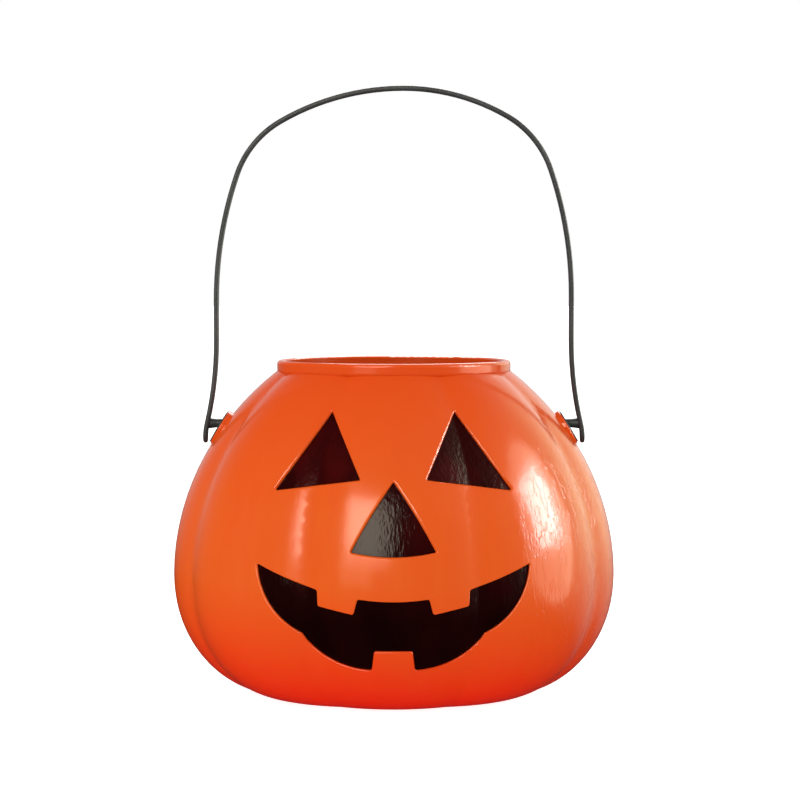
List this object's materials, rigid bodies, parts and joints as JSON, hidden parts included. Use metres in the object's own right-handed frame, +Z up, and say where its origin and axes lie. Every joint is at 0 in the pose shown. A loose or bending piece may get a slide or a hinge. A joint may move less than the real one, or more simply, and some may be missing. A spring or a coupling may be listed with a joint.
{
  "type": "pumpkin candy pail",
  "caption": "Round lobed pumpkin pail with a recessed jack-o'-lantern face, an open collared mouth and a thin strap handle that swings on pegs, for carrying sweets.",
  "frame": {"origin": "middle of the base on the surface that the pail stands on", "axes": "+Z up, the face looks along -Y, the handle swings about X"},
  "size_m": [0.216, 0.216, 0.2957],
  "materials": {
    "orange_plastic": "glossy, faint moulding wrinkles",
    "black_gloss": "high gloss",
    "black_grommet": "satin",
    "black_handle": "satin"
  },
  "bodies": {
    "pail": {"pumpkin_shell": "orange_plastic", "left_eye_panel": "black_gloss", "right_eye_panel": "black_gloss", "nose_panel": "black_gloss", "mouth_panel": "black_gloss", "left_grommet": "black_grommet", "right_grommet": "black_grommet"},
    "handle": {"carrying_handle": "black_handle"}
  },
  "joints": [
    {"name": "handle_swing", "type": "hinge", "parent": "pail", "child": "handle", "pos_m": [0, 0, 0.131], "axis": [1, 0, 0], "range_deg": [-105, 105]}
  ]
}
